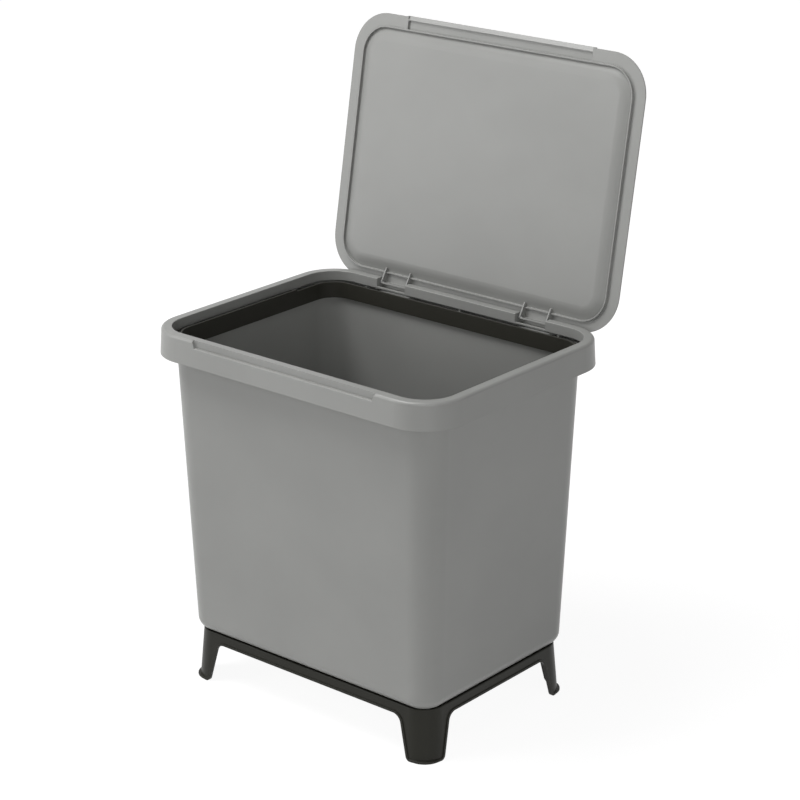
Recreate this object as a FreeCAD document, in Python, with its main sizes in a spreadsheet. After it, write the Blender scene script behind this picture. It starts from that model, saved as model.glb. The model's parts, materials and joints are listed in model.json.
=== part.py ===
import FreeCAD, Part
import math
import os
import re
import Sketcher

# Recycling bin: a tapered tub with a clipped-on rim frame, a bag ring, a hinged
# lid and a four-legged stand. Millimetres. +Z is up, +X runs to the right along
# the front, the front faces -Y. The origin is on the floor under the middle of
# the tub. The lid stands open, leaning on its stop.

os.makedirs("parts", exist_ok=True)
doc = FreeCAD.newDocument("recycling_bin")
V = FreeCAD.Vector

# Points nearer than this to a plane or level count as lying on it
NEAR = 0.01

SIZES = [
    # Whole bin, measured at the top of the rim
    ("bin_width", "400"),
    ("bin_depth", "302"),
    ("rim_height", "414"),
    ("rim_corner", "48"),
    # Rim frame
    ("rim_wall", "2"),
    ("rim_skirt", "29.4"),
    ("rim_flare", "1.6"),
    ("rim_strip", "11.6"),
    ("rim_inner_drop", "11"),
    ("rim_band", "4"),
    ("rim_round", "3.5"),
    ("rim_inner_round", "0.6"),
    ("rib_wall", "2"),
    ("rib_offset_x", "136"),
    ("rib_offset_y", "75.5"),
    ("lug_offset_x", "80"),
    ("lug_offset_y", "60.4"),
    ("lug_width", "24"),
    ("lug_height", "3"),
    ("lug_hold", "1"),
    ("lug_play", "0.1"),
    # Finger recess in the front of the rim
    ("recess_width", "250"),
    ("recess_height", "8.2"),
    ("recess_depth", "3"),
    ("recess_slant", "3.4"),
    ("ledge_round", "1"),
    # Hinge
    ("hinge_spacing", "197.2"),
    ("notch_drop", "9.4"),
    ("notch_back_drop", "7.6"),
    ("pin_setback", "4"),
    ("pin_drop", "5.33"),
    ("pin_radius", "1.5"),
    ("pin_play", "0.3"),
    ("pin_rib", "3"),
    ("pin_rib_drop", "13"),
    ("pin_chamfer", "0.3"),
    # Tub: how far its mouth stays inside the rim, and its walls' taper
    ("tub_inset_x", "15.9"),
    ("tub_inset_y", "16.3"),
    ("tub_corner_less", "17"),
    ("tub_taper_x", "12.3"),
    ("tub_taper_y", "13"),
    ("tub_foot_corner", "25"),
    ("tub_wall", "2.2"),
    ("tub_floor", "2.5"),
    ("tub_round", "14.5"),
    ("tub_sink", "1.1"),
    ("flange_drop", "16"),
    ("flange_thick", "2.5"),
    ("flange_inset", "3.2"),
    ("boss_radius", "6"),
    # Bag ring
    ("ring_inset", "11"),
    ("ring_corner_less", "12"),
    ("ring_wall", "2"),
    ("ring_below", "12.6"),
    ("ring_above", "8"),
    ("ring_above_back", "5.8"),
    ("ring_step_y", "69.5"),
    ("ring_flange", "2"),
    ("ring_clearance", "2"),
    # Lid
    ("lid_side_inset", "0.1"),
    ("lid_front_reach", "1.04"),
    ("lid_corner_less", "2.5"),
    ("lid_plate", "2"),
    ("lid_gap", "0.4"),
    ("lid_round", "0.8"),
    ("lid_back_inset", "2.84"),
    ("lid_open", "100"),
    ("lip_clearance", "2.9"),
    ("lip_front_clearance", "1.4"),
    ("lip_back_clearance", "2.84"),
    ("lip_corner_less", "3.9"),
    ("lip_wall", "1.3"),
    ("lip_height", "3"),
    ("panel_run", "10.9"),
    ("panel_drop", "3.5"),
    ("panel_blend", "28"),
    ("panel_lap", "0.2"),
    # Grip along the front edge of the lid
    ("grip_over", "1.5"),
    ("grip_lift", "2.4"),
    ("grip_crease", "4.1"),
    ("grip_reach", "0.6"),
    ("grip_bevel", "2.4"),
    # Hinge brackets under the back edge of the lid
    ("bracket_width", "36.8"),
    ("bracket_deep", "9.1"),
    ("bracket_long", "17.6"),
    ("bracket_wall", "1.6"),
    ("bracket_play", "2"),
    ("bracket_toe", "2.2"),
    ("bracket_nose", "2"),
    ("ear_radius", "2.6"),
    # Stand
    ("stand_height", "60"),
    ("stand_inset_x", "3.8"),
    ("stand_inset_y", "4"),
    ("stand_splay", "3.9"),
    ("stand_corner", "25"),
    ("stand_wall", "2.6"),
    ("stand_ledge", "42"),
    ("stand_top_round", "1.2"),
    ("stand_collar", "1.6"),
    ("bar_bottom", "48.4"),
    ("leg_top", "40.4"),
    ("leg_foot", "28"),
    ("leg_round", "11"),
    ("leg_foot_round", "6"),
    ("bead_wide", "2.4"),
    ("bead_proud", "1"),
    ("foot_tighten", "4.8"),
    ("foot_height", "2.8"),
    ("foot_flat", "0.4"),
    # Stand screws
    ("screw_edge_x", "20"),
    ("screw_edge_y", "19.7"),
    ("screw_radius", "2"),
    ("screw_reach", "8"),
    ("screw_bore_spare", "1"),
    ("screw_head", "4"),
    ("screw_head_high", "2.6"),
    ("screw_play", "0.3"),
    ("slot_long", "4.4"),
    ("slot_wide", "1"),
    ("slot_deep", "1.6"),
    # How far every cut runs past the surface that it opens
    ("cut_over", "1"),
]

# Lengths that follow from those above
DERIVED = [
    ("mouth_width", "=bin_width - 2 * rim_strip"),
    ("mouth_depth", "=bin_depth - 2 * rim_strip"),
    ("mouth_corner", "=rim_corner - rim_strip"),
    ("hollow_width", "=bin_width - 2 * rim_wall"),
    ("hollow_depth", "=bin_depth - 2 * rim_wall"),
    ("notch_width", "=bracket_width + 2 * bracket_play"),
    ("tub_base", "=stand_height - tub_sink"),
    ("tub_height", "=rim_height - flange_drop - tub_base"),
    ("tub_mouth_width", "=bin_width - 2 * tub_inset_x"),
    ("tub_mouth_depth", "=bin_depth - 2 * tub_inset_y"),
    ("tub_mouth_corner", "=rim_corner - tub_corner_less"),
    ("tub_foot_width", "=tub_mouth_width - 2 * tub_taper_x"),
    ("tub_foot_depth", "=tub_mouth_depth - 2 * tub_taper_y"),
    ("flange_width", "=bin_width - 2 * flange_inset"),
    ("flange_depth", "=bin_depth - 2 * flange_inset"),
    ("ring_width", "=mouth_width - 2 * ring_inset"),
    ("ring_depth", "=mouth_depth - 2 * ring_inset"),
    ("ring_corner", "=mouth_corner - ring_corner_less"),
    ("stand_top_width", "=tub_foot_width - 2 * stand_inset_x"),
    ("stand_top_depth", "=tub_foot_depth - 2 * stand_inset_y"),
    ("stand_foot_width", "=stand_top_width + 2 * stand_splay"),
    ("stand_foot_depth", "=stand_top_depth + 2 * stand_splay"),
    ("foot_round", "=foot_height / 2 - foot_flat"),
    ("screw_x", "=stand_top_width / 2 - screw_edge_x"),
    ("screw_y", "=stand_top_depth / 2 - screw_edge_y"),
    ("lid_width", "=bin_width - 2 * lid_side_inset"),
    ("lid_depth", "=bin_depth - lid_back_inset + lid_front_reach"),
    ("lid_corner", "=rim_corner - lid_corner_less"),
    ("lid_edge", "=pin_setback - lid_back_inset"),
    ("lid_under", "=pin_drop + lid_gap"),
    ("lid_middle", "=lid_edge - lid_depth / 2"),
    ("lip_inset", "=rim_strip + lip_clearance - lid_side_inset"),
    ("lip_front_inset", "=rim_strip + lip_front_clearance + lid_front_reach"),
    ("lip_back_inset", "=rim_strip + lip_back_clearance - lid_back_inset"),
    ("lip_corner", "=mouth_corner - lip_corner_less"),
    ("lip_width", "=lid_width - 2 * lip_inset"),
    ("lip_depth", "=lid_depth - lip_front_inset - lip_back_inset"),
    ("lip_middle", "=lid_edge - lip_back_inset - lip_depth / 2"),
    ("panel_width", "=lip_width - 2 * lip_wall"),
    ("panel_depth", "=lip_depth - 2 * lip_wall"),
    ("panel_outer", "=lip_corner - lip_wall"),
    ("grip_width", "=recess_width + 2 * grip_over"),
]

sheet = doc.addObject("Spreadsheet::Sheet", "sizes")
for row, (alias, text) in enumerate(SIZES + DERIVED, start=1):
    sheet.set("A%d" % row, alias)
    sheet.set("B%d" % row, text)
    sheet.setAlias("B%d" % row, alias)
doc.recompute()


def full(text):
    """Expression with the sheet's name put before every size in it."""
    return re.sub(r"[a-z]\w*", r"sizes.\g<0>", text)


def value(text):
    return float(sheet.evalExpression(full(text)))


def drive(item, prop, text):
    item.setExpression(prop, full(text))


def sketch_in(body, name, role, offset="0", shift="0"):
    """Sketch on one origin plane of a body, moved along the plane's normal."""
    if body is None:
        item = doc.addObject("Sketcher::SketchObject", name)
        turn = {"XY": (0, 0, 0), "XZ": (0, 0, 90), "YZ": (90, 0, 90)}[role]
        item.Placement.Rotation = FreeCAD.Rotation(*turn)
        if role == "XY":
            drive(item, "Placement.Base.z", offset)
        return item
    item = body.newObject("Sketcher::SketchObject", name)
    plane = [f for f in body.Origin.OriginFeatures if f.Role == role + "_Plane"][0]
    item.AttachmentSupport = [(plane, "")]
    item.MapMode = "FlatFace"
    drive(item, "AttachmentOffset.Base.z", offset)
    if shift != "0":
        drive(item, "AttachmentOffset.Base.y", shift)
    return item


def polygon(item, tag, corners):
    """Closed outline with every corner placed by two sizes."""
    first = item.GeometryCount
    count = len(corners)
    spots = [V(value(across), value(along), 0) for across, along in corners]
    for k in range(count):
        item.addGeometry(Part.LineSegment(spots[k], spots[(k + 1) % count]))
    for k in range(count):
        follow = first + (k + 1) % count
        item.addConstraint(Sketcher.Constraint("Coincident", first + k, 2, follow, 1))
    for k in range(count):
        for axis, text, start in (("X", corners[k][0], spots[k].x), ("Y", corners[k][1], spots[k].y)):
            number = item.addConstraint(
                Sketcher.Constraint("Distance" + axis, -1, 1, first + k, 1, start))
            item.renameConstraint(number, "%s%d%s" % (tag, k, axis.lower()))
            drive(item, "Constraints.%s%d%s" % (tag, k, axis.lower()), text)


def box_outline(item, tag, left, right, low, high):
    polygon(item, tag, [(left, low), (right, low), (right, high), (left, high)])


def rounded(item, tag, width, depth, corner):
    """Rounded rectangle centred on the sketch origin."""
    first = item.GeometryCount
    half_w, half_d, radius = value(width) / 2, value(depth) / 2, value(corner)
    for k, (sx, sy) in enumerate(((1, -1), (1, 1), (-1, 1), (-1, -1))):
        centre = V(sx * (half_w - radius), sy * (half_d - radius), 0)
        start = math.radians(-90 + 90 * k)
        item.addGeometry(Part.ArcOfCircle(Part.Circle(centre, V(0, 0, 1), radius),
                                          start, start + math.pi / 2))
    for k in range(4):
        here = item.Geometry[first + k]
        after = item.Geometry[first + (k + 1) % 4]
        item.addGeometry(Part.LineSegment(here.EndPoint, after.StartPoint))
    for k in range(4):
        arc, line, after = first + k, first + 4 + k, first + (k + 1) % 4
        item.addConstraint(Sketcher.Constraint("Tangent", arc, 2, line, 1))
        item.addConstraint(Sketcher.Constraint("Tangent", line, 2, after, 1))
        way = "Vertical" if k in (0, 2) else "Horizontal"
        item.addConstraint(Sketcher.Constraint(way, line))
        if k:
            item.addConstraint(Sketcher.Constraint("Equal", first, arc))
    item.addConstraint(Sketcher.Constraint("Symmetric", first, 3, first + 2, 3, -1, 1))
    sizes = (("w", Sketcher.Constraint("DistanceX", first + 6, 1, first + 4, 1, 2 * half_w), width),
             ("d", Sketcher.Constraint("DistanceY", first + 7, 1, first + 5, 1, 2 * half_d), depth),
             ("r", Sketcher.Constraint("Radius", first, radius), corner))
    for letter, constraint, text in sizes:
        number = item.addConstraint(constraint)
        item.renameConstraint(number, tag + letter)
        drive(item, "Constraints." + tag + letter, text)


def circle(item, tag, across, along, radius):
    number = item.addGeometry(Part.Circle(V(value(across), value(along), 0), V(0, 0, 1),
                                          value(radius)))
    for letter, constraint, text in (
            ("x", Sketcher.Constraint("DistanceX", -1, 1, number, 3, value(across)), across),
            ("y", Sketcher.Constraint("DistanceY", -1, 1, number, 3, value(along)), along),
            ("r", Sketcher.Constraint("Radius", number, value(radius)), radius)):
        place = item.addConstraint(constraint)
        item.renameConstraint(place, tag + letter)
        drive(item, "Constraints." + tag + letter, text)


def outline_in(body, name, offset, width, depth, corner, shift="0"):
    item = sketch_in(body, name, "XY", offset, shift)
    rounded(item, "o", width, depth, corner)
    return item


def frame_in(body, name, offset, outer, inner, shift="0"):
    """Two rounded rectangles, one inside the other."""
    item = sketch_in(body, name, "XY", offset, shift)
    rounded(item, "o", *outer)
    rounded(item, "i", *inner)
    return item


def pad(body, name, profile, length, middle=False):
    item = body.newObject("PartDesign::Pad", name)
    item.Profile = profile
    if middle:
        item.SideType = "Symmetric"
    drive(item, "Length", length)
    return item


def pocket(body, name, profile, length, middle=False, upward=False):
    item = body.newObject("PartDesign::Pocket", name)
    item.Profile = profile
    if middle:
        item.SideType = "Symmetric"
    item.Reversed = upward
    drive(item, "Length", length)
    return item


def loft(body, kind, name, low, high):
    item = body.newObject("PartDesign::" + kind, name)
    item.Profile = low
    item.Sections = [(high, "")]
    item.Ruled = True
    return item


def edges_where(shape, test):
    """Names of the edges whose two ends and middle all pass the test."""
    names = []
    for number, edge in enumerate(shape.Edges, start=1):
        middle = edge.valueAt((edge.FirstParameter + edge.LastParameter) / 2)
        if all(test(point) for point in [v.Point for v in edge.Vertexes] + [middle]):
            names.append("Edge%d" % number)
    return names


def fillet(body, name, radius, test):
    doc.recompute()
    base = body.Tip
    item = body.newObject("PartDesign::Fillet", name)
    item.Base = (base, edges_where(base.Shape, test))
    drive(item, "Radius", radius)
    return item


def level(height):
    return lambda point: abs(point.z - height) < NEAR


def new_body(name, base=("0", "0", "0")):
    body = doc.addObject("PartDesign::Body", name)
    body.Label = name
    for axis, text in zip("xyz", base):
        drive(body, "Placement.Base." + axis, text)
    return body


def make_tub():
    body = new_body("tub", ("0", "0", "tub_base"))
    foot = outline_in(body, "tub_foot_outline", "0",
                      "tub_foot_width", "tub_foot_depth", "tub_foot_corner")
    mouth = outline_in(body, "tub_mouth_outline", "tub_height",
                       "tub_mouth_width", "tub_mouth_depth", "tub_mouth_corner")
    loft(body, "AdditiveLoft", "tub_outside", foot, mouth)
    flange = outline_in(body, "tub_flange_outline", "tub_height - flange_thick",
                        "flange_width", "flange_depth", "rim_corner - flange_inset")
    pad(body, "tub_flange", flange, "flange_thick")
    low = outline_in(body, "tub_inner_foot", "tub_floor", "tub_foot_width - 2 * tub_wall",
                     "tub_foot_depth - 2 * tub_wall", "tub_foot_corner - tub_wall")
    high = outline_in(body, "tub_inner_mouth", "tub_height", "tub_mouth_width - 2 * tub_wall",
                      "tub_mouth_depth - 2 * tub_wall", "tub_mouth_corner - tub_wall")
    loft(body, "SubtractiveLoft", "tub_inside", low, high)
    floor = value("tub_floor")
    fillet(body, "tub_inside_round", "tub_round - tub_wall", level(floor))
    fillet(body, "tub_bottom_round", "tub_round", level(0))
    bosses = sketch_in(body, "tub_boss_circles", "XY", "tub_floor / 2")
    bores = sketch_in(body, "tub_boss_bores", "XY", "0")
    for number, (across, along) in enumerate(screw_spots()):
        circle(bosses, "b%d" % number, across, along, "boss_radius")
        circle(bores, "c%d" % number, across, along, "screw_radius")
    pad(body, "tub_bosses", bosses, "tub_floor / 2 + screw_reach + screw_bore_spare")
    pocket(body, "tub_boss_holes", bores, "screw_reach + screw_bore_spare", upward=True)
    return body


def screw_spots():
    return [(side + "screw_x", end + "screw_y") for side in ("", "-") for end in ("", "-")]


def rim_shell(body):
    top = outline_in(body, "rim_top_outline", "-rim_band", "bin_width", "bin_depth",
                     "rim_corner")
    hem = outline_in(body, "rim_hem_outline", "-rim_skirt", "bin_width + 2 * rim_flare",
                     "bin_depth + 2 * rim_flare", "rim_corner + rim_flare")
    pad(body, "rim_top_band", top, "rim_band")
    fillet(body, "rim_top_round", "rim_round", level(0))
    loft(body, "AdditiveLoft", "rim_outside", hem, top)
    top = outline_in(body, "rim_hollow_top", "-rim_wall", "hollow_width", "hollow_depth",
                     "rim_corner - rim_wall")
    hem = outline_in(body, "rim_hollow_hem", "-rim_skirt", "hollow_width + 2 * rim_flare",
                     "hollow_depth + 2 * rim_flare", "rim_corner - rim_wall + rim_flare")
    loft(body, "SubtractiveLoft", "rim_hollow", hem, top)


def rim_ribs(body):
    """Upright ribs between the inner wall and the skirt, standing on the tub flange."""
    item = sketch_in(body, "rim_rib_outlines", "XY", "-flange_drop")
    inner_y = "(mouth_depth / 2 + rim_wall / 2)"
    outer_y = "(bin_depth / 2 - rim_wall / 2)"
    inner_x = "(mouth_width / 2 + rim_wall / 2)"
    outer_x = "(bin_width / 2 - rim_wall / 2)"
    for number, (across, along) in enumerate((("-rib_offset_x", "-rib_offset_y"), ("0", "0"),
                                              ("rib_offset_x", "rib_offset_y"))):
        left = across + " - rib_wall / 2"
        right = across + " + rib_wall / 2"
        low = along + " - rib_wall / 2"
        high = along + " + rib_wall / 2"
        box_outline(item, "f%d" % number, left, right, "-" + outer_y, "-" + inner_y)
        box_outline(item, "k%d" % number, left, right, inner_y, outer_y)
        box_outline(item, "l%d" % number, "-" + outer_x, "-" + inner_x, low, high)
        box_outline(item, "r%d" % number, inner_x, outer_x, low, high)
    pad(body, "rim_ribs", item, "flange_drop - rim_wall / 2")


def rim_lugs(body):
    """Snap lugs on the inside of the skirt, caught under the tub flange."""
    item = sketch_in(body, "rim_lug_outlines", "XY",
                     "-flange_drop - flange_thick - lug_play - lug_height")
    reach_x = "(flange_width / 2 - lug_hold)"
    reach_y = "(flange_depth / 2 - lug_hold)"
    wall_x = "(bin_width / 2)"
    wall_y = "(bin_depth / 2)"
    for number, sign in enumerate(("-", "")):
        left = sign + "lug_offset_x - lug_width / 2"
        right = sign + "lug_offset_x + lug_width / 2"
        low = sign + "lug_offset_y - lug_width / 2"
        high = sign + "lug_offset_y + lug_width / 2"
        box_outline(item, "f%d" % number, left, right, "-" + wall_y, "-" + reach_y)
        box_outline(item, "k%d" % number, left, right, reach_y, wall_y)
        box_outline(item, "l%d" % number, "-" + wall_x, "-" + reach_x, low, high)
        box_outline(item, "r%d" % number, reach_x, wall_x, low, high)
    pad(body, "rim_lugs", item, "lug_height")


def rim_hinge_ribs(body):
    """Pairs of ribs at the ends of each notch that carry the hinge pins."""
    item = sketch_in(body, "rim_pin_rib_outlines", "XY", "-pin_rib_drop")
    for side, sign in (("l", "-"), ("r", "")):
        centre = "%shinge_spacing / 2" % sign
        for tag, way in (("a", "-"), ("b", "+")):
            near = "%s %s notch_width / 2" % (centre, way)
            far = "%s %s (notch_width / 2 + pin_rib)" % (centre, way)
            box_outline(item, side + tag, near, far, "mouth_depth / 2 + rim_wall / 2",
                        "bin_depth / 2 - rim_wall / 2")
    pad(body, "rim_pin_ribs", item, "pin_rib_drop - rim_wall / 2")


def rim_notches(body):
    front = sketch_in(body, "rim_notch_outlines", "XY", "cut_over")
    back = sketch_in(body, "rim_notch_back_outlines", "XY", "cut_over")
    wall_y = "bin_depth / 2 - rim_wall"
    for tag, sign in (("l", "-"), ("r", "")):
        left = "%shinge_spacing / 2 - notch_width / 2" % sign
        right = "%shinge_spacing / 2 + notch_width / 2" % sign
        box_outline(front, tag, left, right, "mouth_depth / 2 - cut_over", wall_y)
        box_outline(back, tag, left, right, wall_y, "bin_depth / 2 + rim_flare + cut_over")
    pocket(body, "rim_notches", front, "notch_drop + cut_over")
    pocket(body, "rim_notch_backs", back, "notch_back_drop + cut_over")
    for tag, sign in (("left", "-"), ("right", "")):
        item = sketch_in(body, "rim_pin_circle_" + tag, "YZ", "%shinge_spacing / 2" % sign)
        circle(item, "p", "bin_depth / 2 - pin_setback", "-pin_drop", "pin_radius")
        pocket(body, "rim_pin_bore_" + tag, item, "notch_width + 2 * (pin_rib + cut_over)",
               middle=True)


def rim_finger_recess(body):
    """Step in the front edge with slanted ends, and the wall that closes it at the back."""
    top = "(recess_width / 2 + recess_slant / 2)"
    low = "(recess_width / 2 - recess_slant / 2)"
    block = sketch_in(body, "rim_recess_back", "XY", "-recess_height - rim_wall")
    box_outline(block, "b", "-%s - rim_wall" % top, top + " + rim_wall",
                "-bin_depth / 2 + recess_depth / 2", "-bin_depth / 2 + recess_depth + rim_wall")
    pad(body, "rim_recess_wall", block, "recess_height + rim_wall / 2")
    cut = sketch_in(body, "rim_recess_cut", "XZ", "bin_depth / 2 - recess_depth")
    polygon(cut, "c", [("-" + low, "-recess_height"), (low, "-recess_height"), (top, "0"),
                       (top, "cut_over"), ("-" + top, "cut_over"), ("-" + top, "0")])
    pocket(body, "rim_recess", cut, "recess_depth + rim_flare + cut_over", upward=True)
    ledge = value("-recess_height")
    front = value("-bin_depth / 2 + recess_depth / 2")
    reach = value(low) + NEAR
    fillet(body, "rim_ledge_round", "ledge_round",
           lambda p: abs(p.z - ledge) < NEAR and p.y < front and abs(p.x) < reach)


def make_rim_frame():
    body = new_body("rim_frame", ("0", "0", "rim_height"))
    rim_shell(body)
    wall = frame_in(body, "rim_inner_wall_outline", "-rim_inner_drop",
                    ("mouth_width + 2 * rim_wall", "mouth_depth + 2 * rim_wall",
                     "mouth_corner + rim_wall"),
                    ("mouth_width", "mouth_depth", "mouth_corner"))
    pad(body, "rim_inner_wall", wall, "rim_inner_drop - rim_wall / 2")
    rim_ribs(body)
    rim_hinge_ribs(body)
    rim_lugs(body)
    opening = outline_in(body, "rim_opening_outline", "0", "mouth_width", "mouth_depth",
                         "mouth_corner")
    pocket(body, "rim_opening", opening, "2 * rim_wall")
    reach_x = value("mouth_width / 2") + NEAR
    reach_y = value("mouth_depth / 2") + NEAR
    fillet(body, "rim_inner_edge_round", "rim_inner_round",
           lambda p: abs(p.z) < NEAR and abs(p.x) < reach_x and abs(p.y) < reach_y)
    rim_finger_recess(body)
    rim_notches(body)
    return body


def make_bag_ring():
    body = new_body("bag_ring", ("0", "0", "rim_height - flange_drop"))
    inner = ("ring_width", "ring_depth", "ring_corner")
    band = frame_in(body, "ring_band_outline", "-ring_below",
                    ("ring_width + 2 * ring_wall", "ring_depth + 2 * ring_wall",
                     "ring_corner + ring_wall"), inner)
    pad(body, "ring_band", band, "ring_below + ring_above")
    flange = frame_in(body, "ring_flange_outline", "0",
                      ("mouth_width - 2 * ring_clearance", "mouth_depth - 2 * ring_clearance",
                       "mouth_corner - ring_clearance"), inner)
    pad(body, "ring_seat", flange, "ring_flange")
    back = sketch_in(body, "ring_back_outline", "XY", "ring_above + cut_over")
    box_outline(back, "b", "-bin_width / 2", "bin_width / 2", "ring_step_y", "bin_depth / 2")
    pocket(body, "ring_low_back", back, "ring_above - ring_above_back + cut_over")
    return body


def lid_plate(body):
    plate = outline_in(body, "lid_outline", "lid_under", "lid_width", "lid_depth", "lid_corner",
                       "lid_middle")
    pad(body, "lid_plate_pad", plate, "lid_plate")
    fillet(body, "lid_edge_round", "lid_round", level(value("lid_under + lid_plate")))


def lid_panel(body):
    """Middle of the lid set lower than its border: a bulge below and a dish on top."""
    for kind, tag, lift in (("AdditiveLoft", "bulge", "0"), ("SubtractiveLoft", "dish", "lid_plate")):
        flat = "lid_under - panel_drop + " + lift
        edge = outline_in(body, "lid_%s_edge" % tag, "lid_under + panel_lap + " + lift,
                          "panel_width", "panel_depth", "panel_outer", "lip_middle")
        middle = outline_in(body, "lid_%s_flat" % tag, flat, "panel_width - 2 * panel_run",
                            "panel_depth - 2 * panel_run", "panel_outer - panel_run", "lip_middle")
        loft(body, kind, "lid_" + tag, edge, middle)
        fillet(body, "lid_%s_round" % tag, "panel_blend - " + lift, level(value(flat)))


def lid_grip(body):
    """Groove for the fingers in front of the lip, and a bevelled edge strip before it."""
    front = "lid_edge - lid_depth"
    inner = front + " + lip_front_inset"
    crease = front + " + grip_crease"
    tip = front + " - grip_reach"
    top = "lid_under + lid_plate + grip_lift"
    solid = sketch_in(body, "lid_grip_profile", "YZ")
    box_outline(solid, "s", tip, inner + " + lid_plate", "lid_under", top)
    pad(body, "lid_grip_block", solid, "grip_width + 2 * lid_plate", middle=True)
    hollow = sketch_in(body, "lid_grip_hollow_profile", "YZ")
    past = tip + " - cut_over"
    below = "lid_under - cut_over"
    bent = "lid_under + grip_bevel * (1 + cut_over / (grip_crease + grip_reach))"
    polygon(hollow, "h", [(past, below), (past, bent), (crease, "lid_under"),
                          (crease, "lid_under + grip_lift"), (inner, "lid_under + grip_lift"),
                          (inner, below)])
    pocket(body, "lid_grip_hollow", hollow, "grip_width", middle=True)


def lid_brackets(body):
    """Two open boxes under the back edge; their side walls end in pin ears."""
    under = "lid_under"
    edge = "lid_edge"
    inner = edge + " - bracket_wall"
    end = edge + " - bracket_long"
    below = under + " - bracket_deep"
    clear = "bracket_width - 2 * bracket_wall"
    for tag, sign in (("left", "-"), ("right", "")):
        centre = "%shinge_spacing / 2" % sign
        wedge = sketch_in(body, "bracket_profile_" + tag, "YZ", centre)
        polygon(wedge, "w", [(edge, under + " + lid_plate / 2"), (end, under + " + lid_plate / 2"),
                             (end, under + " - lip_height"), (edge + " - bracket_toe", below),
                             (edge, below)])
        pad(body, "bracket_block_" + tag, wedge, "bracket_width", middle=True)
        fillet(body, "bracket_corner_" + tag, "bracket_nose", bracket_corner(centre))
        ear = sketch_in(body, "bracket_ear_circle_" + tag, "YZ", centre)
        circle(ear, "e", "0", "0", "ear_radius")
        pad(body, "bracket_ears_" + tag, ear, "bracket_width", middle=True)
        between = sketch_in(body, "bracket_between_profile_" + tag, "YZ", centre)
        box_outline(between, "g", edge, edge + " + ear_radius",
                    "-ear_radius - cut_over", "ear_radius + cut_over")
        pocket(body, "bracket_between_" + tag, between, clear, middle=True)
        room = sketch_in(body, "bracket_room_profile_" + tag, "YZ", centre)
        box_outline(room, "r", end + " - cut_over", inner, below + " - cut_over", under)
        pocket(body, "bracket_room_" + tag, room, clear, middle=True)
        bore = sketch_in(body, "bracket_bore_circle_" + tag, "YZ", centre)
        circle(bore, "b", "0", "0", "pin_radius + pin_play")
        pocket(body, "bracket_bore_" + tag, bore, "bracket_width + 2 * cut_over", middle=True)


def bracket_corner(centre):
    """Test for the two upright outer corners of the bracket round this centre."""
    middle = value(centre)
    reach = value("bracket_width / 2")
    back = value("lid_edge")
    plate = value("lid_under")
    return lambda p: (abs(abs(p.x - middle) - reach) < NEAR and abs(p.y - back) < NEAR
                      and p.z < plate + NEAR)


def make_lid():
    body = new_body("lid", ("0", "bin_depth / 2 - pin_setback", "rim_height - pin_drop"))
    body.Placement.Rotation = FreeCAD.Rotation(V(-1, 0, 0), value("lid_open"))
    drive(body, "Placement.Rotation.Angle", "lid_open")
    lid_plate(body)
    lid_brackets(body)
    lid_panel(body)
    lip = frame_in(body, "lid_lip_outline", "lid_under - lip_height",
                   ("lip_width", "lip_depth", "lip_corner"),
                   ("panel_width", "panel_depth", "panel_outer"), "lip_middle")
    pad(body, "lid_lip", lip, "lip_height + lid_plate / 2")
    lid_grip(body)
    return body


def make_hinge_pins():
    pins = []
    for side, sign in (("left", "-"), ("right", "")):
        for end, way in (("outer", sign or "+"), ("inner", "+" if sign else "-")):
            name = "hinge_pin_%s_%s" % (side, end)
            start = "%shinge_spacing / 2 %s (bracket_width / 2 - bracket_wall)" % (sign, way)
            body = new_body(name, (start, "bin_depth / 2 - pin_setback", "rim_height - pin_drop"))
            item = sketch_in(body, name + "_circle", "YZ")
            circle(item, "p", "0", "0", "pin_radius")
            length = "bracket_wall + (notch_width - bracket_width) / 2 + pin_rib"
            rod = pad(body, name + "_rod", item, length)
            rod.Reversed = way == "-"
            doc.recompute()
            chamfer = body.newObject("PartDesign::Chamfer", name + "_ends")
            chamfer.Base = (rod, round_edges(rod.Shape))
            drive(chamfer, "Size", "pin_chamfer")
            pins.append(body)
    return pins


def round_edges(shape):
    return ["Edge%d" % (k + 1) for k, edge in enumerate(shape.Edges)
            if isinstance(edge.Curve, Part.Circle)]


def plain(kind, name, **links):
    item = doc.addObject(kind, name)
    for key, link in links.items():
        setattr(item, key, link)
    return item


def splayed(name, grow, low, high, corner="stand_corner"):
    """Solid between two levels of the stand's splayed outline, grown outwards."""
    profiles = []
    for tag, height in (("low", low), ("high", high)):
        out = "2 * (stand_splay * (1 - (%s) / stand_height) + %s)" % (height, grow)
        item = sketch_in(None, name + "_" + tag, "XY", height)
        rounded(item, "o", "stand_top_width + " + out, "stand_top_depth + " + out,
                "%s + (%s)" % (corner, grow))
        profiles.append(item)
    return plain("Part::Loft", name, Sections=profiles, Solid=True, Ruled=True)


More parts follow.
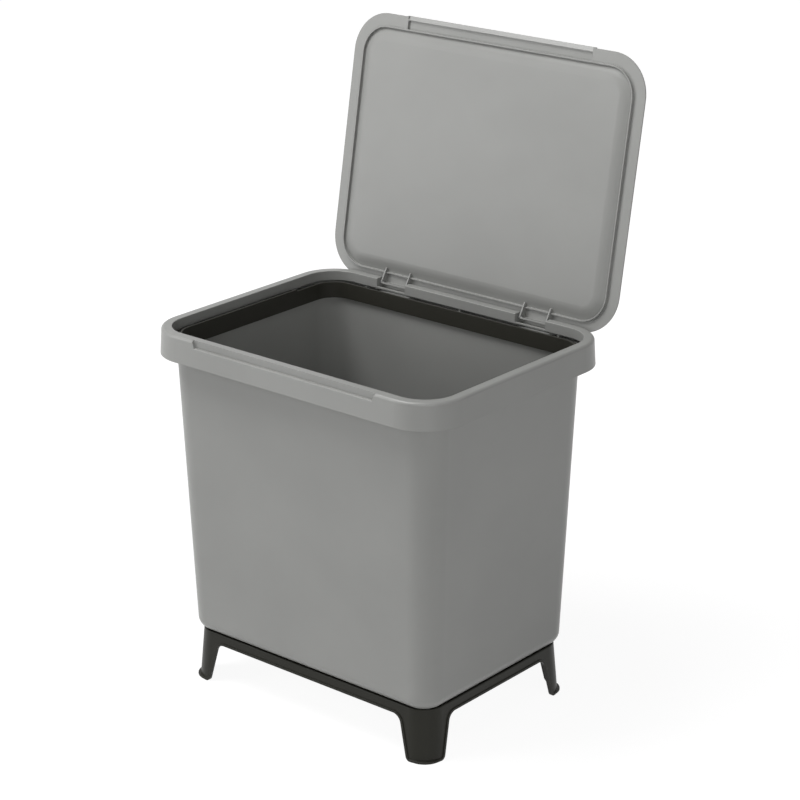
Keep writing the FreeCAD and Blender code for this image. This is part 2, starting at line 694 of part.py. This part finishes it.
def window(name, plane, span, margin="0"):
    """Opening under one pair of bars, right through the stand, with round upper corners.

    At the floor it widens in a curve, so that it rounds off the feet beside it."""
    item = sketch_in(None, name + "_outline", plane)
    low = "(%s / 2 - leg_foot + %s)" % (span, margin)
    high = "(%s / 2 - leg_top + %s)" % (span, margin)
    wide = "(%s + leg_foot / 2)" % low
    top = "bar_bottom + " + margin
    polygon(item, "w", [("-" + low, margin), ("-" + high, top), (high, top), (low, margin),
                        (wide, margin), (wide, "-cut_over"), ("-" + wide, "-cut_over"),
                        ("-" + wide, margin)])
    block = plain("Part::Extrusion", name + "_block", Base=item)
    block.DirMode = "Normal"
    block.Solid = True
    block.Symmetric = True
    drive(block, "LengthFwd", "stand_foot_width + 2 * (bead_proud + cut_over)")
    doc.recompute()
    rounding = doc.addObject("Part::Fillet", name)
    rounding.Base = block
    rounds = [(number, value("leg_round + " + margin))
              for number in long_edges(block.Shape, plane, value(high), value(top))]
    rounds += [(number, value("leg_foot_round - " + margin))
               for number in long_edges(block.Shape, plane, value(low), value(margin))]
    rounding.Edges = [(number, radius, radius) for number, radius in rounds]
    return rounding


def long_edges(shape, plane, reach, height):
    """Numbers of the edges along a window's tunnel, this far from its middle and this high."""
    found = []
    for number, edge in enumerate(shape.Edges, start=1):
        ends = [edge.valueAt(edge.FirstParameter), edge.valueAt(edge.LastParameter)]
        across = [abs(end.x if plane == "XZ" else end.y) for end in ends]
        if all(abs(a - reach) < NEAR and abs(end.z - height) < NEAR
               for a, end in zip(across, ends)) and (ends[1] - ends[0]).Length > 2 * reach:
            found.append(number)
    return found


def windows(name, margin="0"):
    return plain("Part::MultiFuse", name,
                 Shapes=[window(name + "_front", "XZ", "stand_foot_width", margin),
                         window(name + "_side", "YZ", "stand_foot_depth", margin)])


def rounded_off(name, base, levels, radius):
    """The block with the edges at these levels rounded."""
    doc.recompute()
    edges = []
    for height in levels:
        edges += edges_where(base.Shape, level(value(height)))
    item = doc.addObject("Part::Fillet", name)
    item.Base = base
    item.Edges = [(int(edge[4:]), value(radius), value(radius)) for edge in edges]
    return item


def make_stand():
    block = rounded_off("stand_top_edge", splayed("stand_block", "0", "0", "stand_height"),
                        ["stand_height"], "stand_top_round")
    base = splayed("stand_feet", "bead_proud", "0", "foot_height", "stand_corner - foot_tighten")
    feet = rounded_off("stand_foot_edge", base, ["foot_height", "0"], "foot_round")
    skin = splayed("stand_bead_skin", "bead_proud", "0", "bar_bottom + bead_wide")
    beads = plain("Part::Common", "stand_beads", Base=skin,
                  Tool=windows("stand_bead_zone", "bead_wide"))
    solid = plain("Part::MultiFuse", "stand_solid", Shapes=[block, beads, feet])
    hollow = splayed("stand_hollow", "-stand_wall", "-cut_over", "tub_base - stand_wall")
    seat = sketch_in(None, "stand_seat_outline", "XY", "tub_base")
    rounded(seat, "o", "stand_top_width - 2 * stand_collar", "stand_top_depth - 2 * stand_collar",
            "stand_corner - stand_collar")
    seat_cut = plain("Part::Extrusion", "stand_seat", Base=seat)
    seat_cut.DirMode = "Normal"
    seat_cut.Solid = True
    drive(seat_cut, "LengthFwd", "tub_sink + cut_over")
    eye = sketch_in(None, "stand_eye_outline", "XY", "stand_height / 2")
    rounded(eye, "o", "stand_top_width - 2 * stand_ledge", "stand_top_depth - 2 * stand_ledge",
            "stand_corner")
    eye_cut = plain("Part::Extrusion", "stand_eye", Base=eye)
    eye_cut.DirMode = "Normal"
    eye_cut.Solid = True
    drive(eye_cut, "LengthFwd", "stand_height")
    cuts = [hollow, seat_cut, eye_cut, windows("stand_windows")]
    for number, (across, along) in enumerate(screw_spots()):
        hole = doc.addObject("Part::Cylinder", "stand_screw_hole_%d" % number)
        drive(hole, "Radius", "screw_radius + screw_play")
        drive(hole, "Height", "stand_height")
        drive(hole, "Placement.Base.x", across)
        drive(hole, "Placement.Base.y", along)
        drive(hole, "Placement.Base.z", "stand_height / 2")
        cuts.append(hole)
    tools = plain("Part::MultiFuse", "stand_cuts", Shapes=cuts)
    stand = plain("Part::Cut", "stand", Base=solid, Tool=tools)
    stand.Label = "stand"
    return stand


def make_screw(number, across, along):
    """Pan head under the stand's top plate, shank up into a tub boss."""
    name = "stand_screw_%d" % number
    head = doc.addObject("Part::Cylinder", name + "_head")
    drive(head, "Radius", "screw_head")
    drive(head, "Height", "screw_head_high")
    shank = doc.addObject("Part::Cylinder", name + "_shank")
    drive(shank, "Radius", "screw_radius")
    drive(shank, "Height", "screw_head_high + stand_wall + screw_reach")
    blades = []
    for tag, long, wide in (("x", "slot_long", "slot_wide"), ("y", "slot_wide", "slot_long")):
        blade = doc.addObject("Part::Box", "%s_slot_%s" % (name, tag))
        drive(blade, "Length", long)
        drive(blade, "Width", wide)
        drive(blade, "Height", "slot_deep")
        drive(blade, "Placement.Base.x", "-%s / 2" % long)
        drive(blade, "Placement.Base.y", "-%s / 2" % wide)
        blades.append(blade)
    whole = plain("Part::MultiFuse", name + "_blank", Shapes=[head, shank])
    slots = plain("Part::MultiFuse", name + "_slots", Shapes=blades)
    screw = plain("Part::Cut", name, Base=whole, Tool=slots)
    drive(screw, "Placement.Base.x", across)
    drive(screw, "Placement.Base.y", along)
    drive(screw, "Placement.Base.z", "tub_base - stand_wall - screw_head_high")
    return screw


def make_screws():
    screws = [make_screw(number, across, along)
              for number, (across, along) in enumerate(screw_spots())]
    group = plain("Part::Compound", "stand_screws", Links=screws)
    group.Label = "stand_screws"
    return group


parts = [make_tub(), make_rim_frame(), make_bag_ring(), make_lid(), make_stand(), make_screws()]
parts += make_hinge_pins()
doc.recompute()

for item in doc.Objects:
    if "Invalid" in item.State or "Error" in item.State:
        raise RuntimeError("%s is in state %s" % (item.Name, item.State))

for item in parts:
    shape = item.Shape
    if shape.isNull() or not shape.isValid():
        raise RuntimeError("%s has no valid shape" % item.Label)
    shape.exportStep("parts/%s.step" % item.Label)
    print(item.Label, len(shape.Solids), "solids, volume", round(shape.Volume, 1))
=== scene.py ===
import json
import math

import bpy
from mathutils import Matrix, Vector


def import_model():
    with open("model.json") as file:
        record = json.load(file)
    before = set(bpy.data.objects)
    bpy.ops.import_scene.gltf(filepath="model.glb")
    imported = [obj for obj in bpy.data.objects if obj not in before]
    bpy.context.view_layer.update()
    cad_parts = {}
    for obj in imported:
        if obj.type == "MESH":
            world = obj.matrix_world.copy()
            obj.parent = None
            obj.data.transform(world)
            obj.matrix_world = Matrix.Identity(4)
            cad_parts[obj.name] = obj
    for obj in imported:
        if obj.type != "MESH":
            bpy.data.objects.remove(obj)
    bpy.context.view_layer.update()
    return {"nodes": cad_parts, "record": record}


# Looks of a grey recycling bin with an open lid: moulded plastic on the packed
# parts, a white room and a strong soft light from the left. Metres.

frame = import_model()

# The photograph's frame, in its own 800 pixel square
IMAGE = 800
FOCAL_PIXELS = 2506.3
CENTRE_PIXEL = (409.9, 395.3)
SENSOR_MM = 36

# Where the camera stands: it looks along its own axis past a point above the
# origin, from this azimuth and elevation
AZIMUTH = math.radians(39.88)
ELEVATION = math.radians(20.11)
ROLL = math.radians(0.05)
DISTANCE = 2.72136
AIM_HEIGHT = 0.250
AIM_RIGHT = 0.03558
AIM_UP = 0.08486
FARTHEST_SEEN = 50

# Soft lights: name, azimuth and height in degrees as for the camera, the two
# sides of the lamp, watts. All of them face one point from the same distance
LAMPS = [
    ("key_above", -45, 64, (1.5, 1.5), 60),
    ("key_side", -45, 13, (1.6, 1.6), 20),
    ("fill_near", 47, 12, (1.5, 1.5), 16.5),
    ("fill_above", 45, 64, (1.5, 1.5), 5),
    ("fill_right", 90, 12, (1.5, 1.5), 6),
]
LAMP_TARGET = Vector((0, 0, 0.35))
LAMP_DISTANCE = 2.6

# Colours, linear
GREY = (0.27, 0.272, 0.262)
BLACK = (0.016, 0.0157, 0.0115)
RING_BLACK = (0.027, 0.0262, 0.021)
STEEL_DARK = (0.48, 0.48, 0.5)
STEEL_LIGHT = (0.66, 0.66, 0.68)

# Faint clouds in a colour: noise per metre, and where in the noise it turns
CLOUD_SCALE = 9.0
CLOUD_DETAIL = 3.0
CLOUD_SPREAD = 0.03
TINT_STOPS = (0.35, 0.65)

# Patches of sheen and the fine grain of the mouldings, and their softened edges
SHEEN_SCALE = 35.0
SHEEN_DETAIL = 2.0
SMOOTHER = 0.04
ROUGHER = 0.05
GRAIN_SCALE = 1400.0
GRAIN_DETAIL = 1.0
GRAIN_DEPTH = 0.0002
EDGE_RADIUS = 0.0005
EDGE_SAMPLES = 4

STEEL_SCALE = 300.0
STEEL_ROUGH = 0.35

# The floor: how it returns light, how much of the light shows on it, and its own
# white, which is a little lower under the object, so that the shadow shows there
FLOOR_SIDE = 12
FLOOR_PAINT = 0.8
FLOOR_LIT = 0.16
FLOOR_GLOW = 0.93
FADE_START = 0.3
FADE_END = 0.9

# White of the background in a mirror, of 1 to the camera
MIRRORED_WHITE = 0.8


def camera():
    back = Vector((math.sin(AZIMUTH) * math.cos(ELEVATION),
                   -math.cos(AZIMUTH) * math.cos(ELEVATION), math.sin(ELEVATION)))
    right = Vector((math.cos(AZIMUTH), math.sin(AZIMUTH), 0))
    up = back.cross(right)
    right, up = (right * math.cos(ROLL) + up * math.sin(ROLL),
                 up * math.cos(ROLL) - right * math.sin(ROLL))
    place = Vector((0, 0, AIM_HEIGHT)) + back * DISTANCE + right * AIM_RIGHT + up * AIM_UP
    data = bpy.data.cameras.new("camera")
    data.sensor_width = SENSOR_MM
    data.lens = FOCAL_PIXELS * SENSOR_MM / IMAGE
    data.shift_x = (IMAGE / 2 - CENTRE_PIXEL[0]) / IMAGE
    data.shift_y = (CENTRE_PIXEL[1] - IMAGE / 2) / IMAGE
    data.clip_end = FARTHEST_SEEN
    item = bpy.data.objects.new("camera", data)
    turn = Matrix((right, up, back)).transposed().to_4x4()
    item.matrix_world = Matrix.Translation(place) @ turn
    bpy.context.scene.collection.objects.link(item)
    bpy.context.scene.camera = item


def material(name):
    """Node material with its main shader alone; returns it, its nodes, links and shader."""
    item = bpy.data.materials.new(name)
    item.use_nodes = True
    nodes, links = item.node_tree.nodes, item.node_tree.links
    return item, nodes, links, nodes["Principled BSDF"]


def noise(nodes, links, coords, scale, detail):
    item = nodes.new("ShaderNodeTexNoise")
    item.inputs["Scale"].default_value = scale
    item.inputs["Detail"].default_value = detail
    links.new(coords.outputs["Object"], item.inputs["Vector"])
    return item.outputs["Fac"]


def tint(nodes, links, source, low, high):
    """Colour between these two, by the value of the source."""
    item = nodes.new("ShaderNodeValToRGB")
    for stop, place, colour in zip(item.color_ramp.elements, TINT_STOPS, (low, high)):
        stop.position = place
        stop.color = (*colour, 1)
    links.new(source, item.inputs["Fac"])
    return item.outputs["Color"]


def between(nodes, links, source, low, high):
    """Value between these two, by the value of the source."""
    item = nodes.new("ShaderNodeMapRange")
    item.inputs["To Min"].default_value = low
    item.inputs["To Max"].default_value = high
    links.new(source, item.inputs["Value"])
    return item


def math_node(nodes, links, operation, first, second):
    """Result of this operation on a socket and on a second socket or a number."""
    item = nodes.new("ShaderNodeMath")
    item.operation = operation
    links.new(first, item.inputs[0])
    if isinstance(second, float):
        item.inputs[1].default_value = second
    else:
        links.new(second, item.inputs[1])
    return item.outputs[0]


def moulded(name, colour, rough, grain, mirror=0.5):
    """Moulded plastic: faint clouds in the colour, a fine grain and softened edges."""
    item, nodes, links, shader = material(name)
    shader.inputs["Roughness"].default_value = rough
    shader.inputs["Specular IOR Level"].default_value = mirror
    coords = nodes.new("ShaderNodeTexCoord")
    dark = tuple(c * (1 - CLOUD_SPREAD) for c in colour)
    light = tuple(c * (1 + CLOUD_SPREAD) for c in colour)
    clouds = noise(nodes, links, coords, CLOUD_SCALE, CLOUD_DETAIL)
    links.new(tint(nodes, links, clouds, dark, light), shader.inputs["Base Color"])
    sheen = noise(nodes, links, coords, SHEEN_SCALE, SHEEN_DETAIL)
    worn = between(nodes, links, sheen, rough - SMOOTHER, rough + ROUGHER)
    links.new(worn.outputs["Result"], shader.inputs["Roughness"])
    edges = nodes.new("ShaderNodeBevel")
    edges.samples = EDGE_SAMPLES
    edges.inputs["Radius"].default_value = EDGE_RADIUS
    bump = nodes.new("ShaderNodeBump")
    bump.inputs["Strength"].default_value = grain
    bump.inputs["Distance"].default_value = GRAIN_DEPTH
    grains = noise(nodes, links, coords, GRAIN_SCALE, GRAIN_DETAIL)
    links.new(grains, bump.inputs["Height"])
    links.new(edges.outputs["Normal"], bump.inputs["Normal"])
    links.new(bump.outputs["Normal"], shader.inputs["Normal"])
    return item


def steel(name):
    item, nodes, links, shader = material(name)
    shader.inputs["Roughness"].default_value = STEEL_ROUGH
    shader.inputs["Metallic"].default_value = 1.0
    coords = nodes.new("ShaderNodeTexCoord")
    clouds = noise(nodes, links, coords, STEEL_SCALE, CLOUD_DETAIL)
    links.new(tint(nodes, links, clouds, STEEL_DARK, STEEL_LIGHT), shader.inputs["Base Color"])
    return item


def dress(finishes):
    """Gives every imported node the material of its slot."""
    slots = {part["node"]: part["material_slot"] for part in frame["record"]["subparts"]}
    for name, item in frame["nodes"].items():
        item.data.materials.clear()
        item.data.materials.append(finishes[slots[name]])


def lamp(name, azimuth, elevation, sides, power):
    """Wide soft light at this azimuth from the front and this height, in degrees."""
    turn, rise = math.radians(azimuth), math.radians(elevation)
    way = Vector((math.sin(turn) * math.cos(rise), -math.cos(turn) * math.cos(rise),
                  math.sin(rise)))
    data = bpy.data.lights.new(name, "AREA")
    data.shape = "RECTANGLE"
    data.size, data.size_y = sides
    data.energy = power
    item = bpy.data.objects.new(name, data)
    item.location = LAMP_TARGET + way * LAMP_DISTANCE
    item.rotation_euler = (-way).to_track_quat("-Z", "Y").to_euler()
    bpy.context.scene.collection.objects.link(item)


def shown_rays(nodes, links):
    """1 for rays from the camera, a mirror or glass, and 0 for those that carry light."""
    path = nodes.new("ShaderNodeLightPath")
    total = path.outputs["Is Camera Ray"]
    for name in ("Is Glossy Ray", "Is Transmission Ray"):
        total = math_node(nodes, links, "MAXIMUM", total, path.outputs[name])
    return total


def white_floor(name):
    """Floor that returns light as plain paint does and looks white around a faint shadow."""
    item, nodes, links, shader = material(name)
    nodes.remove(shader)
    plain = nodes.new("ShaderNodeBsdfDiffuse")
    plain.inputs["Color"].default_value = (FLOOR_PAINT, FLOOR_PAINT, FLOOR_PAINT, 1)
    lit = nodes.new("ShaderNodeBsdfDiffuse")
    lit.inputs["Color"].default_value = (FLOOR_LIT, FLOOR_LIT, FLOOR_LIT, 1)
    coords = nodes.new("ShaderNodeTexCoord")
    reach = nodes.new("ShaderNodeVectorMath")
    reach.operation = "LENGTH"
    links.new(coords.outputs["Object"], reach.inputs[0])
    fade = between(nodes, links, reach.outputs["Value"], FLOOR_GLOW, 1.0)
    fade.inputs["From Min"].default_value = FADE_START
    fade.inputs["From Max"].default_value = FADE_END
    white = nodes.new("ShaderNodeEmission")
    links.new(fade.outputs["Result"], white.inputs["Strength"])
    seen = nodes.new("ShaderNodeAddShader")
    links.new(lit.outputs[0], seen.inputs[0])
    links.new(white.outputs[0], seen.inputs[1])
    mix = nodes.new("ShaderNodeMixShader")
    links.new(shown_rays(nodes, links), mix.inputs["Fac"])
    links.new(plain.outputs[0], mix.inputs[1])
    links.new(seen.outputs[0], mix.inputs[2])
    links.new(mix.outputs[0], nodes["Material Output"].inputs["Surface"])
    return item


def floor():
    mesh = bpy.data.meshes.new("floor")
    half = FLOOR_SIDE / 2
    mesh.from_pydata([(-half, -half, 0), (half, -half, 0), (half, half, 0), (-half, half, 0)],
                     [], [(0, 1, 2, 3)])
    item = bpy.data.objects.new("floor", mesh)
    item.data.materials.append(white_floor("floor"))
    bpy.context.scene.collection.objects.link(item)


def world():
    """Background that carries no light: white to the camera and duller in a mirror."""
    item = bpy.data.worlds.new("world")
    item.use_nodes = True
    bpy.context.scene.world = item
    nodes, links = item.node_tree.nodes, item.node_tree.links
    path = nodes.new("ShaderNodeLightPath")
    mirrored = math_node(nodes, links, "MULTIPLY", shown_rays(nodes, links), MIRRORED_WHITE)
    shown = math_node(nodes, links, "MAXIMUM", mirrored, path.outputs["Is Camera Ray"])
    shader = nodes["Background"]
    shader.inputs["Color"].default_value = (1, 1, 1, 1)
    links.new(shown, shader.inputs["Strength"])


bpy.context.scene.view_settings.view_transform = "Standard"
camera()

dress({
    "tub_plastic": moulded("tub_plastic", GREY, rough=0.36, grain=0.08),
    "rim_plastic": moulded("rim_plastic", GREY, rough=0.36, grain=0.08),
    "ring_plastic": moulded("ring_plastic", RING_BLACK, rough=0.4, grain=0.12, mirror=0.3),
    "lid_plastic": moulded("lid_plastic", GREY, rough=0.36, grain=0.08),
    "stand_plastic": moulded("stand_plastic", BLACK, rough=0.4, grain=0.15, mirror=0.2),
    "steel": steel("steel"),
})

floor()
world()
for values in LAMPS:
    lamp(*values)
